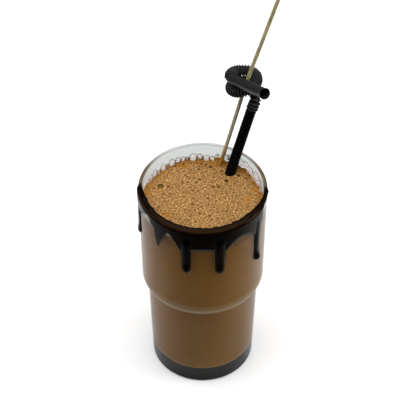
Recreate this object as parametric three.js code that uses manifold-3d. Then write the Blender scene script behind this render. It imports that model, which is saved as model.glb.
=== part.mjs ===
// Iced chocolate in a tall stacking tumbler: chocolate sauce runs down from the front half of the rim,
// and a black bendy straw is wound twice round a bamboo skewer.
// Millimetres, +Z up. The origin is the middle of the underside of the glass, on the table.
// Azimuths are in degrees from +X, counter-clockwise seen from above, so the front is at -90.

import * as THREE from "three";
import { mergeVertices } from "three/addons/utils/BufferGeometryUtils.js";
import Module from "manifold-3d";

const wasm = await Module();
wasm.setup();

// Driving sizes.

// Clear space left between pieces that touch.
const GAP = 0.3;
// Points closer than this are one point.
const MERGE = 1e-4;
// Steps along each rounding of a turned profile, and along the measured length of a curved path.
const ARC_STEPS = 2;
const PATH_STEPS = 2000;
// How far the room for the straw or the skewer runs on past its foot, as a share of its length in the glass.
const ROOM_BEYOND = 0.006;

// The step inside is where the wall turns out to the shoulder: innerStepDrop below the one outside.
const GLASS = {
  height: 149.7,
  rimRadius: 40.5,
  rimWall: 2.4,
  shoulderRadius: 39.26,
  shoulderHeight: 76.5,
  shoulderRound: 6.2,
  shoulderTurn: 42.5,
  stepRadius: 35.65,
  stepHeight: 70.2,
  stepWall: 2.6,
  innerStepDrop: 1,
  heelRadius: 33.35,
  heelHeight: 4,
  heelInset: 0.4,
  footRadius: 30.6,
  floorHeight: 11.5,
  floorRadius: 31.0,
  floorRound: 5,
  sides: 48,
};

const LEVEL = { froth: 138, drink: 131.5 };

// The straw leans on the rim, runs straight up from there and bends into the coil. Lists of shares give the
// points of a straight length that the path passes through.
const STRAW = {
  outer: 6.3,
  bore: 5.3,
  foot: [-20.3, -12.6, 13.2],
  onRim: [21.0, 27.6, 150],
  stemAboveRim: 42,
  stemShares: [0.5, 0.76, 1],
  sides: 10,
  steps: 84,
};

// The two turns of the straw round the skewer: a helix that leans a little, and narrows a little as it rises.
const COIL = {
  centre: [26.6, 43.0, 190.7],
  axis: [-0.15, 0.1, 1],
  radius: 8.7,
  narrowing: 0.55,
  pitch: 8.5,
  start: 65,
  stop: 525,
  step: 20,
};

const MOUTHPIECE = {
  start: [17.5, 43.0, 201.8],
  toward: [0.416, -0.797, 0.438],
  length: 47,
  shares: [0, 0.2, 0.5, 1],
};

const SKEWER = {
  diameter: 2.5,
  foot: [-22.0, 11.2, 12.6],
  onRim: [14.26, 33.7, 150],
  inCoil: [28.2, 42.3, 203],
  length: 300,
  top: [0.279, 0.083, 0.95],
  topShares: [0.3, 1],
  sides: 10,
  steps: 14,
};

// The coat over the rim. It starts innerEdge degrees round the rim's section, counted from outward, and thins
// to nothing over endFade degrees at its two ends, and over edgeRound and tipRound down to its lower line and
// to the tips of the drips. The drips rise out of it between runsFrom and runsFull below the rim.
const SAUCE = {
  coat: 0.8,
  rimCoat: 0.5,
  thinEdge: 0.35,
  innerEdge: 115,
  rimShares: [1, 0.6, 0.25],
  highestEnd: 147.4,
  endFade: 6,
  endStart: -2,
  edgeRound: 2.5,
  tipRound: 1.5,
  runsFrom: 2,
  runsFull: 12,
  columnStep: 1.75,
  rows: 7,
  rowCrowding: 0.8,
};

// Where the coat ends below: azimuth and height of the points that its lower line passes through.
const SAUCE_LINE = [
  [-184, 147.6],
  [-180, 142],
  [-172, 139.5],
  [-163, 138.8],
  [-154, 142.6],
  [-146, 145.2],
  [-140, 138.6],
  [-134, 137.2],
  [-124, 142.8],
  [-116, 137.6],
  [-110, 131.2],
  [-99, 132.6],
  [-90, 135.2],
  [-80, 131.6],
  [-69, 130.6],
  [-63, 135],
  [-53, 138.2],
  [-44, 135.6],
  [-37, 131.5],
  [-28, 134],
  [-23, 145.8],
  [-18, 147.3],
  [-7, 147.2],
  [-3, 145.4],
  [0, 147],
];

// The runs of sauce that hang below the coat: azimuth, width, height of the tip, how long the rounding of the
// tip is, and how far they stand out along their length and, more, at the tip.
const DRIPS = [
  { azimuth: -170, width: 6, tip: 116.4, tipLength: 3, out: 1, bulb: 0.7 },
  { azimuth: -131.3, width: 7.6, tip: 125.6, tipLength: 11, out: 1.4, bulb: 0 },
  { azimuth: -104.4, width: 6.2, tip: 112.6, tipLength: 3.1, out: 1.5, bulb: 0.3 },
  { azimuth: -74.2, width: 6.4, tip: 111.6, tipLength: 3.2, out: 1.5, bulb: 0.3 },
  { azimuth: -32.8, width: 4.8, tip: 106.4, tipLength: 2.4, out: 1.4, bulb: 0.4 },
];

// Bubbles of the froth: a row of large ones against the back of the wall, spaced in radii, and smaller ones
// on the surface, of whose radius a share shows.
const WALL_BUBBLES = { from: 10, to: 168, smallest: 1.5, largest: 2.2, rise: 1.3, spacing: 1.9, clear: 0.1 };
const TOP_BUBBLES = { count: 10, smallest: 1.1, largest: 1.7, show: 0.45, fromWall: 6 };
const BUBBLE = { around: 7, up: 5, seed: 11 };

// Small helpers.

const radians = THREE.MathUtils.degToRad;

function vector([x, y, z]) {
  return new THREE.Vector3(x, y, z);
}

function mix(a, b, t) {
  return a + (b - a) * t;
}

function solidOf(geometry) {
  const bare = geometry.clone();
  bare.deleteAttribute("normal");
  bare.deleteAttribute("uv");
  const merged = mergeVertices(bare, MERGE);
  return new wasm.Manifold(
    new wasm.Mesh({
      numProp: 3,
      vertProperties: merged.attributes.position.array,
      triVerts: new Uint32Array(merged.index.array),
    }),
  );
}

function geometryOf(solid) {
  const mesh = solid.getMesh();
  const geometry = new THREE.BufferGeometry();
  geometry.setAttribute("position", new THREE.BufferAttribute(mesh.vertProperties, 3));
  geometry.setIndex(new THREE.BufferAttribute(mesh.triVerts, 1));
  geometry.computeVertexNormals();
  return geometry;
}

function piece(name, geometry, color, roughness, extra = {}) {
  const material = new THREE.MeshStandardMaterial({ color, roughness, metalness: 0, ...extra });
  const mesh = new THREE.Mesh(geometry, material);
  mesh.name = name;
  return mesh;
}

// A profile in radius and height, turned about the axis. It runs counter-clockwise and closes on the axis.
function turned(path, sides) {
  return new THREE.LatheGeometry(path.getPoints(ARC_STEPS), sides).rotateX(Math.PI / 2);
}

// Glass.

// Radius of the outer wall above the shoulder.
function wallRadius(z) {
  const top = GLASS.height - GLASS.rimWall / 2;
  return mix(GLASS.shoulderRadius, GLASS.rimRadius, (z - GLASS.shoulderHeight) / (top - GLASS.shoulderHeight));
}

// The inside of the glass from the floor's middle up to a height, moved in by a clearance.
function insidePath(path, clearance, topHeight) {
  const { shoulderHeight, shoulderRound, shoulderTurn, stepRadius, stepHeight, stepWall } = GLASS;
  const roundCentre = GLASS.shoulderRadius - shoulderRound;
  const round = shoulderRound - GLASS.rimWall - clearance;
  const turn = radians(shoulderTurn);
  const corner = GLASS.floorRound - clearance;
  path.lineTo(GLASS.floorRadius - GLASS.floorRound, GLASS.floorHeight + clearance);
  path.absarc(
    GLASS.floorRadius - GLASS.floorRound,
    GLASS.floorHeight + GLASS.floorRound,
    corner,
    -Math.PI / 2,
    0,
    false,
  );
  path.lineTo(stepRadius - stepWall - clearance, stepHeight - GLASS.innerStepDrop);
  path.absarc(roundCentre, shoulderHeight, round, -turn, 0, false);
  path.lineTo(wallRadius(topHeight) - GLASS.rimWall - clearance, topHeight);
}

function makeGlass() {
  const { height, rimRadius, rimWall, stepRadius, stepHeight, shoulderHeight, shoulderRound } = GLASS;
  const inside = new THREE.Path().moveTo(0, GLASS.floorHeight);
  insidePath(inside, 0, height - rimWall / 2);
  const outside = new THREE.Path().moveTo(0, 0);
  outside.lineTo(GLASS.footRadius, 0);
  outside.quadraticCurveTo(GLASS.heelRadius - GLASS.heelInset, 0, GLASS.heelRadius, GLASS.heelHeight);
  outside.lineTo(stepRadius, stepHeight);
  const turn = radians(GLASS.shoulderTurn);
  outside.absarc(GLASS.shoulderRadius - shoulderRound, shoulderHeight, shoulderRound, -turn, 0, false);
  outside.absarc(rimRadius - rimWall / 2, height - rimWall / 2, rimWall / 2, 0, Math.PI, false);
  const profile = [...outside.getPoints(ARC_STEPS), ...inside.getPoints(ARC_STEPS).reverse()];
  return solidOf(new THREE.LatheGeometry(profile, GLASS.sides).rotateX(Math.PI / 2));
}

// Straw and skewer.

function coilPoint(degrees) {
  const axis = vector(COIL.axis).normalize();
  const right = new THREE.Vector3(1, 0, 0).projectOnPlane(axis).normalize();
  const back = new THREE.Vector3().crossVectors(axis, right);
  const turns = degrees / 360;
  const radius = COIL.radius - COIL.narrowing * turns;
  return vector(COIL.centre)
    .addScaledVector(right, radius * Math.cos(radians(degrees)))
    .addScaledVector(back, radius * Math.sin(radians(degrees)))
    .addScaledVector(axis, COIL.pitch * turns);
}

function through(points) {
  const path = new THREE.CatmullRomCurve3(points, false, "centripetal");
  path.arcLengthDivisions = PATH_STEPS;
  return path;
}

function strawPath() {
  const foot = vector(STRAW.foot);
  const onRim = vector(STRAW.onRim);
  const up = onRim.clone().sub(foot).normalize();
  const points = [foot, foot.clone().lerp(onRim, 0.5), onRim];
  for (const share of STRAW.stemShares) {
    points.push(onRim.clone().addScaledVector(up, share * STRAW.stemAboveRim));
  }
  for (let angle = COIL.start; angle <= COIL.stop; angle += COIL.step) {
    points.push(coilPoint(angle));
  }
  const toward = vector(MOUTHPIECE.toward).normalize();
  for (const share of MOUTHPIECE.shares) {
    points.push(vector(MOUTHPIECE.start).addScaledVector(toward, share * MOUTHPIECE.length));
  }
  return through(points);
}

function skewerPath() {
  const points = [SKEWER.foot, SKEWER.onRim, SKEWER.inCoil].map(vector);
  const used = points[0].distanceTo(points[1]) + points[1].distanceTo(points[2]);
  const upward = vector(SKEWER.top).normalize();
  for (const share of SKEWER.topShares) {
    points.push(points[2].clone().addScaledVector(upward, share * (SKEWER.length - used)));
  }
  return through(points);
}

// A round bar along a path, or a tube where it has a bore.
function barAlong(path, steps, sides, diameter, bore = 0) {
  const section = new THREE.Shape().absarc(0, 0, diameter / 2, 0, 2 * Math.PI, false);
  if (bore > 0) {
    section.holes.push(new THREE.Path().absarc(0, 0, bore / 2, 0, 2 * Math.PI, true));
  }
  const bar = new THREE.ExtrudeGeometry(section, {
    steps,
    extrudePath: path,
    curveSegments: sides / 2,
    bevelEnabled: false,
  });
  return solidOf(bar);
}

// The straight room that a straw or a skewer needs below the rim.
function roomFor({ foot, onRim, sides }, diameter) {
  const low = vector(foot);
  const high = vector(onRim);
  low.lerp(high, -ROOM_BEYOND);
  return barAlong(new THREE.LineCurve3(low, high), 1, sides, (diameter + 2 * GAP) / Math.cos(Math.PI / sides));
}

// Drink and froth.

function makeDrink() {
  const path = new THREE.Path().moveTo(0, GLASS.floorHeight + GAP);
  insidePath(path, GAP, LEVEL.drink);
  path.lineTo(0, LEVEL.drink);
  return solidOf(turned(path, GLASS.sides));
}

function bubble(x, y, z, radius) {
  const ball = new THREE.SphereGeometry(radius, BUBBLE.around, BUBBLE.up);
  return solidOf(ball.rotateX(Math.PI / 2).translate(x, y, z));
}

function makeFroth() {
  const bottom = LEVEL.drink + GAP;
  const reach = (z) => wallRadius(z) - GLASS.rimWall - GAP;
  const disc = new THREE.Path().moveTo(0, bottom);
  disc.lineTo(reach(bottom), bottom);
  disc.lineTo(reach(LEVEL.froth), LEVEL.froth);
  disc.lineTo(0, LEVEL.froth);
  const draw = () => THREE.MathUtils.seededRandom();
  THREE.MathUtils.seededRandom(BUBBLE.seed);
  const pieces = [solidOf(turned(disc, GLASS.sides))];
  let azimuth = WALL_BUBBLES.from;
  while (azimuth < WALL_BUBBLES.to) {
    const radius = mix(WALL_BUBBLES.smallest, WALL_BUBBLES.largest, draw());
    const out = reach(LEVEL.froth) - radius - WALL_BUBBLES.clear;
    const turn = radians(azimuth);
    pieces.push(bubble(out * Math.cos(turn), out * Math.sin(turn), LEVEL.froth + WALL_BUBBLES.rise, radius));
    azimuth += THREE.MathUtils.radToDeg((WALL_BUBBLES.spacing * radius) / out);
  }
  const golden = Math.PI * (3 - Math.sqrt(5));
  for (let i = 0; i < TOP_BUBBLES.count; i += 1) {
    const radius = mix(TOP_BUBBLES.smallest, TOP_BUBBLES.largest, draw());
    const out = (reach(LEVEL.froth) - TOP_BUBBLES.fromWall) * Math.sqrt((i + 0.5) / TOP_BUBBLES.count);
    const x = out * Math.cos(i * golden);
    const y = out * Math.sin(i * golden);
    pieces.push(bubble(x, y, LEVEL.froth - radius * (1 - TOP_BUBBLES.show), radius));
  }
  return pieces.reduce((whole, part) => whole.add(part));
}

// Chocolate sauce.

const lineHeight = new THREE.CubicInterpolant(
  SAUCE_LINE.map(([azimuth]) => azimuth),
  SAUCE_LINE.map(([, height]) => height),
  1,
);

// Lower end of the sauce at an azimuth, and how far it stands out there at a height.
function sauceAt(azimuth) {
  const coatEnd = Math.min(lineHeight.evaluate(azimuth)[0], SAUCE.highestEnd);
  const fromEnds = Math.min(azimuth - SAUCE_LINE[0][0], SAUCE_LINE.at(-1)[0] - azimuth);
  const coatOut = SAUCE.coat * THREE.MathUtils.smoothstep(fromEnds, SAUCE.endStart, SAUCE.endFade);
  let end = coatEnd;
  let run = null;
  for (const drip of DRIPS) {
    const half = drip.width / 2;
    const across = (radians(azimuth - drip.azimuth) * wallRadius(drip.tip)) / half;
    if (Math.abs(across) < 1) {
      const arch = Math.sqrt(1 - across * across);
      end = Math.min(coatEnd, drip.tip + drip.tipLength * (1 - arch));
      run = { drip, arch, half };
    }
  }
  const rounded = (height, round) => Math.sqrt(THREE.MathUtils.clamp(height / round, 0, 1));
  const stand = (z) => {
    let out = coatOut * rounded(z - coatEnd, SAUCE.edgeRound);
    if (run) {
      const nearTip = Math.max(0, 1 - Math.abs(z - run.drip.tip - run.half) / run.drip.width);
      const fromTop = THREE.MathUtils.smoothstep(GLASS.height - z, SAUCE.runsFrom, SAUCE.runsFull);
      out = Math.max(out, (run.drip.out * fromTop + run.drip.bulb * nearTip) * run.arch);
    }
    return Math.max(SAUCE.thinEdge, out) * rounded(z - end, SAUCE.tipRound);
  };
  return { end, stand };
}

function sauceRing(azimuth) {
  const { end, stand } = sauceAt(azimuth);
  const rim = GLASS.rimWall / 2;
  const rimZ = GLASS.height - rim;
  const outer = [];
  const inner = [];
  for (const share of SAUCE.rimShares) {
    const turn = radians(share * SAUCE.innerEdge);
    const cover = share === 1 ? 0 : SAUCE.rimCoat;
    const at = (out) => [GLASS.rimRadius - rim + out * Math.cos(turn), rimZ + out * Math.sin(turn)];
    outer.push(at(rim + GAP + cover));
    if (cover) inner.push(at(rim + GAP));
  }
  for (let row = 0; row < SAUCE.rows; row += 1) {
    const z = mix(rimZ, end, Math.pow(row / (SAUCE.rows - 1), SAUCE.rowCrowding));
    outer.push([wallRadius(z) + GAP + stand(z), z]);
    if (row < SAUCE.rows - 1 && row % 2 === 0) inner.push([wallRadius(z) + GAP, z]);
  }
  const turn = radians(azimuth);
  return [...outer, ...inner.reverse()].map(([r, z]) => new THREE.Vector3(r * Math.cos(turn), r * Math.sin(turn), z));
}

// A closed skin over rings of equal length, with a flat fan over the first and the last.
function skinOver(rings) {
  const count = rings[0].length;
  const index = [];
  for (let i = 0; i < rings.length - 1; i += 1) {
    for (let j = 0; j < count; j += 1) {
      const a = i * count + j;
      const b = i * count + ((j + 1) % count);
      index.push(a, b, a + count, b, b + count, a + count);
    }
  }
  const last = (rings.length - 1) * count;
  for (let j = 1; j < count - 1; j += 1) {
    index.push(0, j + 1, j, last, last + j, last + j + 1);
  }
  const geometry = new THREE.BufferGeometry().setFromPoints(rings.flat());
  geometry.setIndex(index);
  return geometry;
}

function makeSauce() {
  const first = SAUCE_LINE[0][0];
  const last = SAUCE_LINE.at(-1)[0];
  const columns = Math.round((last - first) / SAUCE.columnStep);
  const rings = [];
  for (let i = 0; i <= columns; i += 1) {
    rings.push(sauceRing(mix(first, last, i / columns)));
  }
  return solidOf(skinOver(rings));
}

// The whole drink.

const glass = makeGlass();
const straw = barAlong(strawPath(), STRAW.steps, STRAW.sides, STRAW.outer, STRAW.bore);
const skewer = barAlong(skewerPath(), SKEWER.steps, SKEWER.sides, SKEWER.diameter);
const strawRoom = roomFor(STRAW, STRAW.outer);
const skewerRoom = roomFor(SKEWER, SKEWER.diameter);
const drink = makeDrink().subtract(strawRoom).subtract(skewerRoom);
const froth = makeFroth().subtract(strawRoom).subtract(skewerRoom);

const icedChocolate = new THREE.Group();
icedChocolate.add(
  piece("glass", geometryOf(glass), "#e6ecea", 0.05, { transparent: true, opacity: 0.3 }),
  piece("drink", geometryOf(drink), "#7a5c3c", 0.4),
  piece("froth", geometryOf(froth), "#b99466", 0.6),
  piece("chocolate_sauce", geometryOf(makeSauce()), "#0f0a08", 0.15),
  piece("straw", geometryOf(straw), "#141414", 0.35),
  piece("skewer", geometryOf(skewer), "#b5aa84", 0.7),
);

export default icedChocolate;
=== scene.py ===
"""Iced chocolate in a tall stepped tumbler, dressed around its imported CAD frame.

The glass stands on the origin with +Z up, in metres. Azimuths are degrees from +X, counter-clockwise from
above, so the side that the camera sees is at -90.
"""

import math
import random
from itertools import accumulate, pairwise

import bmesh
import bpy
from bpy.props import FloatProperty, FloatVectorProperty, IntProperty, PointerProperty
from mathutils import Color, Matrix, Vector, noise


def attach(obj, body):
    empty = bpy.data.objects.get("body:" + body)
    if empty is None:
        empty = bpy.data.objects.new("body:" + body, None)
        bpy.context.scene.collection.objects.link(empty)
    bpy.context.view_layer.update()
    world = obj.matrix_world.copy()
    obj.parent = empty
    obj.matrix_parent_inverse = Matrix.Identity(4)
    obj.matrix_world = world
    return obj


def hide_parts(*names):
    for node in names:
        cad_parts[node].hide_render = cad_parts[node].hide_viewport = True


bl_info = {
    "name": "Iced chocolate",
    "version": (1, 0, 0),
    "blender": (4, 5, 0),
    "location": "View3D > Sidebar > Iced chocolate",
    "description": "Builds a glass of iced chocolate with its sauce, froth, straw and skewer",
    "category": "Add Mesh",
}

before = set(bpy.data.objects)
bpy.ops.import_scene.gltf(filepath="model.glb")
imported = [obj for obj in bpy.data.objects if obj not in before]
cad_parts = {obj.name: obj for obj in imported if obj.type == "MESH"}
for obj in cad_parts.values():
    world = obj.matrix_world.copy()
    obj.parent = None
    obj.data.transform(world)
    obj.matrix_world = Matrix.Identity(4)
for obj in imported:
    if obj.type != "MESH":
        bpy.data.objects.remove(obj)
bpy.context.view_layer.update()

BODY = "root"
MM = 0.001
# A piece that touches the glass reaches this far into it, so that no air shows between them.
WET_IN = 0.06 * MM

# Where the coat of sauce ends below: azimuth in degrees and height in millimetres.
SAUCE_LINE = [
    (-184, 147.6), (-180, 142), (-172, 139.5), (-163, 138.8), (-154, 142.6),
    (-146, 145.2), (-141.5, 140.9), (-137.2, 138.6), (-135.9, 131.5), (-134.2, 126.2),
    (-132.4, 128.8), (-127.6, 136), (-123.6, 141.2), (-120.5, 141.8), (-116, 137.6),
    (-110, 131.2), (-99, 132.7), (-90, 133.5), (-80, 132.4), (-69, 130.6),
    (-63, 135), (-53, 138.2), (-44, 135.6), (-37, 131.5), (-28, 134),
    (-23, 145.8), (-18, 147.3), (-7, 147.2), (-3, 145.4), (0, 147),
]

# The drips: azimuth, then width, height of the tip, length of the tip, how far they stand out, and how much
# further at the tip, in millimetres.
DRIPS = [
    (-170, 6, 116.4, 3, 1, 0.7),
    (-105, 6.1, 112.4, 5, 1.4, 0.5),
    (-74.4, 6.3, 111.4, 5, 1.4, 0.5),
    (-32.2, 5.4, 106.2, 4.4, 1.3, 1.3),
]

# Bubbles of the froth that stand out: x, y, radius in millimetres, and how dark they are.
MARKED_BUBBLES = [
    (-26.8, 12.2, 2.3, 0.95), (-24.8, 4.9, 1.6, 0.2), (-20.6, 5.1, 1.2, 0.35), (-18.4, 4.9, 1.2, 0.1),
    (15.0, 16.9, 1.5, 1.0), (11.4, 18.9, 1.3, 0.15), (12.0, 25.6, 1.5, 0.45), (22.7, 21.9, 1.3, 0.9),
    (-5.6, 24.4, 1.7, 0.0), (-8.6, 24.0, 1.3, 0.2), (0.4, 20.8, 1.5, 0.25), (6.8, 23.1, 1.7, 0.0),
    (1.1, 16.0, 1.6, 0.1), (6.2, 16.2, 1.9, 0.15), (-7.7, -14.4, 1.5, 0.3), (-3.0, 7.7, 1.3, 0.2),
    (23.0, -3.9, 1.7, 0.1),
]

# Amber patches of the froth: x, y, radius in millimetres.
AMBER_PATCHES = [
    (-13.3, 31.3, 4.2), (-11.1, 30.0, 3.0), (-24.1, 25.3, 3.2), (-28.0, 21.5, 3.0), (-1.8, 33.6, 3.2),
    (6.5, 33.2, 3.6), (13.0, 32.5, 3.4), (25.0, 26.5, 3.4), (33.6, 11.7, 3.2), (34.4, 6.4, 3.4),
    (28.4, 0.1, 3.0), (-35.2, 5.5, 3.2), (-22.6, -13.1, 3.0),
]

# Foam cells against the back of the wall: azimuth in degrees, height and radius in millimetres.
FOAM_CELLS = [
    (9.0, 140.4, 1.7), (17.0, 141.8, 2.1), (25.5, 142.0, 3.0), (36.6, 141.8, 2.3), (42.6, 143.8, 2.0),
    (49.5, 142.6, 2.4), (56.0, 140.8, 1.7), (61.5, 142.4, 2.0), (66.4, 141.6, 2.0), (72.5, 139.3, 0.7),
    (75.4, 141.6, 0.9), (80.8, 138.5, 1.3), (86.7, 138.6, 1.8), (92.9, 139.9, 1.4), (99.4, 139.7, 2.1),
    (105.2, 139.3, 0.8), (109.6, 139.6, 1.3), (114.8, 139.9, 1.5), (121.4, 139.6, 1.9), (126.8, 138.9, 0.8),
    (131.8, 139.2, 1.9), (138.0, 138.4, 1.0), (144.2, 139.8, 1.9), (150.5, 139.4, 1.6), (156.5, 139.2, 1.3),
]

# The straw, in millimetres: its foot, where it leans on the rim and the straight length above that.
STRAW_FOOT = Vector((-20.3, -12.6, 13.2))
STRAW_ON_RIM = Vector((21.0, 27.6, 150))
STEM_ABOVE_RIM = 42
# Its coil: a helix that starts and stops at an azimuth in degrees, and by how much its radius shrinks and it
# climbs with each turn.
COIL_CENTRE = Vector((26.6, 43.0, 190.7))
COIL_AXIS = Vector((-0.15, 0.1, 1))
COIL_START, COIL_STOP, COIL_STEP = 65, 525, 20
COIL_RADIUS = 8.7
COIL_NARROWING = 0.55
COIL_PITCH = 8.5
# Its mouthpiece: where it starts and what it points to.
MOUTHPIECE_START = Vector((17.5, 43.0, 201.8))
MOUTHPIECE_TOWARD = Vector((0.416, -0.797, 0.438))
MOUTHPIECE_LENGTH = 47

# Points that the skewer passes through, in millimetres, and where its top points to.
SKEWER_POINTS = [(-22.0, 11.2, 12.6), (14.26, 33.7, 150), (28.2, 42.3, 203)]
SKEWER_TOWARD = Vector((0.279, 0.083, 0.95))

# Settings that many shader nodes share.
IN_COLOUR = {"data_type": "RGBA"}
SOFT_STEP = {"interpolation_type": "SMOOTHSTEP"}


# Shared helpers.


def srgb(code):
    """Linear colour of an sRGB hex code."""
    channels = [int(code[i : i + 2], 16) / 255 for i in (1, 3, 5)]
    return [c / 12.92 if c <= 0.04045 else ((c + 0.055) / 1.055) ** 2.4 for c in channels]


def length(name, millimetres, description):
    """A size that the sidebar shows."""
    return FloatProperty(
        name=name,
        description=description,
        default=millimetres * MM,
        min=0.0,
        precision=5,
        unit="LENGTH",
        subtype="DISTANCE",
    )


def tint(name, code, description):
    """A colour that the sidebar shows."""
    return FloatVectorProperty(
        name=name,
        description=description,
        default=srgb(code),
        size=3,
        min=0.0,
        max=1.0,
        subtype="COLOR",
    )


def mix(a, b, share):
    return a + (b - a) * share


def smooth(value, low, high):
    """0 below low, 1 above high, and a soft step between."""
    t = min(1.0, max(0.0, (value - low) / (high - low)))
    return t * t * (3 - 2 * t)


def cubic(start, leave, end, arrive, t):
    """Between start and end, numbers or points, by the slopes at both."""
    return (
        start * (2 * t**3 - 3 * t**2 + 1)
        + leave * (t**3 - 2 * t**2 + t)
        + end * (3 * t**2 - 2 * t**3)
        + arrive * (t**3 - t**2)
    )


def new_material(name):
    """An empty node material and its tree."""
    material = bpy.data.materials.new(name)
    material.use_nodes = True
    material.node_tree.nodes.clear()
    return material, material.node_tree


def add_node(tree, kind, sockets=None, settings=None):
    """A shader node with its settings and what its sockets get.

    That is a number, a colour, another node's socket, or a node, which gives its first output in use.
    """
    node = tree.nodes.new(f"ShaderNode{kind}")
    for name, value in (settings or {}).items():
        setattr(node, name, value)
    for name, value in (sockets or {}).items():
        if isinstance(value, bpy.types.Node):
            value = next(output for output in value.outputs if output.enabled)
        if isinstance(value, bpy.types.NodeSocket):
            tree.links.new(value, node.inputs[name])
        elif isinstance(value, Color):
            node.inputs[name].default_value = (*value, 1.0)
        else:
            node.inputs[name].default_value = value
    return node


def make_object(name, bm, material):
    """Makes the bmesh an object at the origin."""
    mesh = bpy.data.meshes.new(name)
    bm.to_mesh(mesh)
    bm.free()
    mesh.materials.append(material)
    thing = bpy.data.objects.new(name, mesh)
    bpy.context.scene.collection.objects.link(thing)
    return thing


def finish_piece(name, bm, material, node):
    """Makes the bmesh a smooth piece that rides on the body and stands for its CAD node."""
    piece = make_object(name, bm, material)
    piece.data.shade_smooth()
    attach(piece, BODY)
    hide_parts(node)
    return piece


def close_ends(bm):
    """Fills what is open and turns all faces outward."""
    bmesh.ops.holes_fill(bm, edges=[e for e in bm.edges if e.is_boundary], sides=0)
    bmesh.ops.recalc_face_normals(bm, faces=bm.faces)


def rounded_outline(corners, steps=7, beside=0.5 * MM):
    """Points (radius, height) of an outline whose corners (radius, height, rounding) are rounded.

    A point beside each rounding keeps the straight walls flat to the eye.
    """
    runs = []
    for i, (r, z, rounding) in enumerate(corners):
        here = Vector((r, z))
        if not rounding:
            runs.append([here])
            continue
        back = (Vector(corners[i - 1][:2]) - here).normalized()
        onward = (Vector(corners[i + 1][:2]) - here).normalized()
        half = back.angle(onward) / 2
        centre = here + (back + onward).normalized() * (rounding / math.sin(half))
        first = here + back * (rounding / math.tan(half)) - centre
        last = here + onward * (rounding / math.tan(half)) - centre
        turn = -first.angle_signed(last)
        runs.append([centre + Matrix.Rotation(turn * k / steps, 2) @ first for k in range(steps + 1)])
    points = list(runs[0])
    for run in runs[1:]:
        gap = run[0] - points[-1]
        if gap.length > 4 * beside:
            points.append(points[-1] + gap.normalized() * beside)
            points.append(run[0] - gap.normalized() * beside)
        points.extend(run)
    return points


def turned(points, steps):
    """A solid turned about the axis from points (radius, height)."""
    bm = bmesh.new()
    verts = [bm.verts.new((p.x, 0, p.y)) for p in points]
    edges = [bm.edges.new(pair) for pair in pairwise(verts)]
    bmesh.ops.spin(
        bm,
        geom=verts + edges,
        cent=(0, 0, 0),
        axis=(0, 0, 1),
        dvec=(0, 0, 0),
        angle=2 * math.pi,
        steps=steps,
        use_merge=True,
        use_normal_flip=False,
        use_duplicate=False,
    )
    bmesh.ops.remove_doubles(bm, verts=bm.verts, dist=1e-6)
    bmesh.ops.recalc_face_normals(bm, faces=bm.faces)
    return bm


def inside_corners(glass, out, top):
    """The inside of the glass as corners from the middle of its floor up to a height, moved out."""
    step_radius = glass.step_radius - glass.step_wall
    step_height = glass.step_height - glass.inner_step_drop
    shoulder_radius = glass.shoulder_radius - glass.rim_wall
    shoulder_height = glass.shoulder_height + glass.inner_shoulder_rise
    return [
        (0, glass.floor_height - out, 0),
        (glass.floor_radius + out, glass.floor_height - out, glass.floor_round),
        (step_radius + out, step_height, glass.inner_step_round),
        (shoulder_radius + out, shoulder_height, glass.inner_shoulder_round),
        (inner_radius(glass, top) + out, top, 0),
    ]


def outer_radius(glass, z):
    """Radius of the outer wall above the shoulder."""
    top = glass.height - glass.rim_wall / 2
    share = (z - glass.shoulder_height) / (top - glass.shoulder_height)
    return mix(glass.shoulder_radius, glass.rim_radius, share)


def inner_radius(glass, z):
    return outer_radius(glass, z) - glass.rim_wall


def round_about(azimuth, radius, z):
    turn = math.radians(azimuth)
    return Vector((radius * math.cos(turn), radius * math.sin(turn), z))


def distances(line):
    """Distance along a line at each of its points."""
    return list(accumulate(((q - p).length for p, q in pairwise(line)), initial=0.0))


def path_through(points, per_span=60):
    """Points close together on the centripetal curve through the given ones, as in the CAD part."""
    ends = [2 * points[0] - points[1], *points, 2 * points[-1] - points[-2]]
    line = [points[0].copy()]
    for a, b, c, d in zip(ends, ends[1:], ends[2:], ends[3:]):
        before, span, after = ((q - p).length ** 0.5 for p, q in ((a, b), (b, c), (c, d)))
        leave = ((b - a) / before - (c - a) / (before + span) + (c - b) / span) * span
        arrive = ((c - b) / span - (d - b) / (span + after) + (d - c) / after) * span
        line += [cubic(b, leave, c, arrive, k / per_span) for k in range(1, per_span + 1)]
    return line


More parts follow.
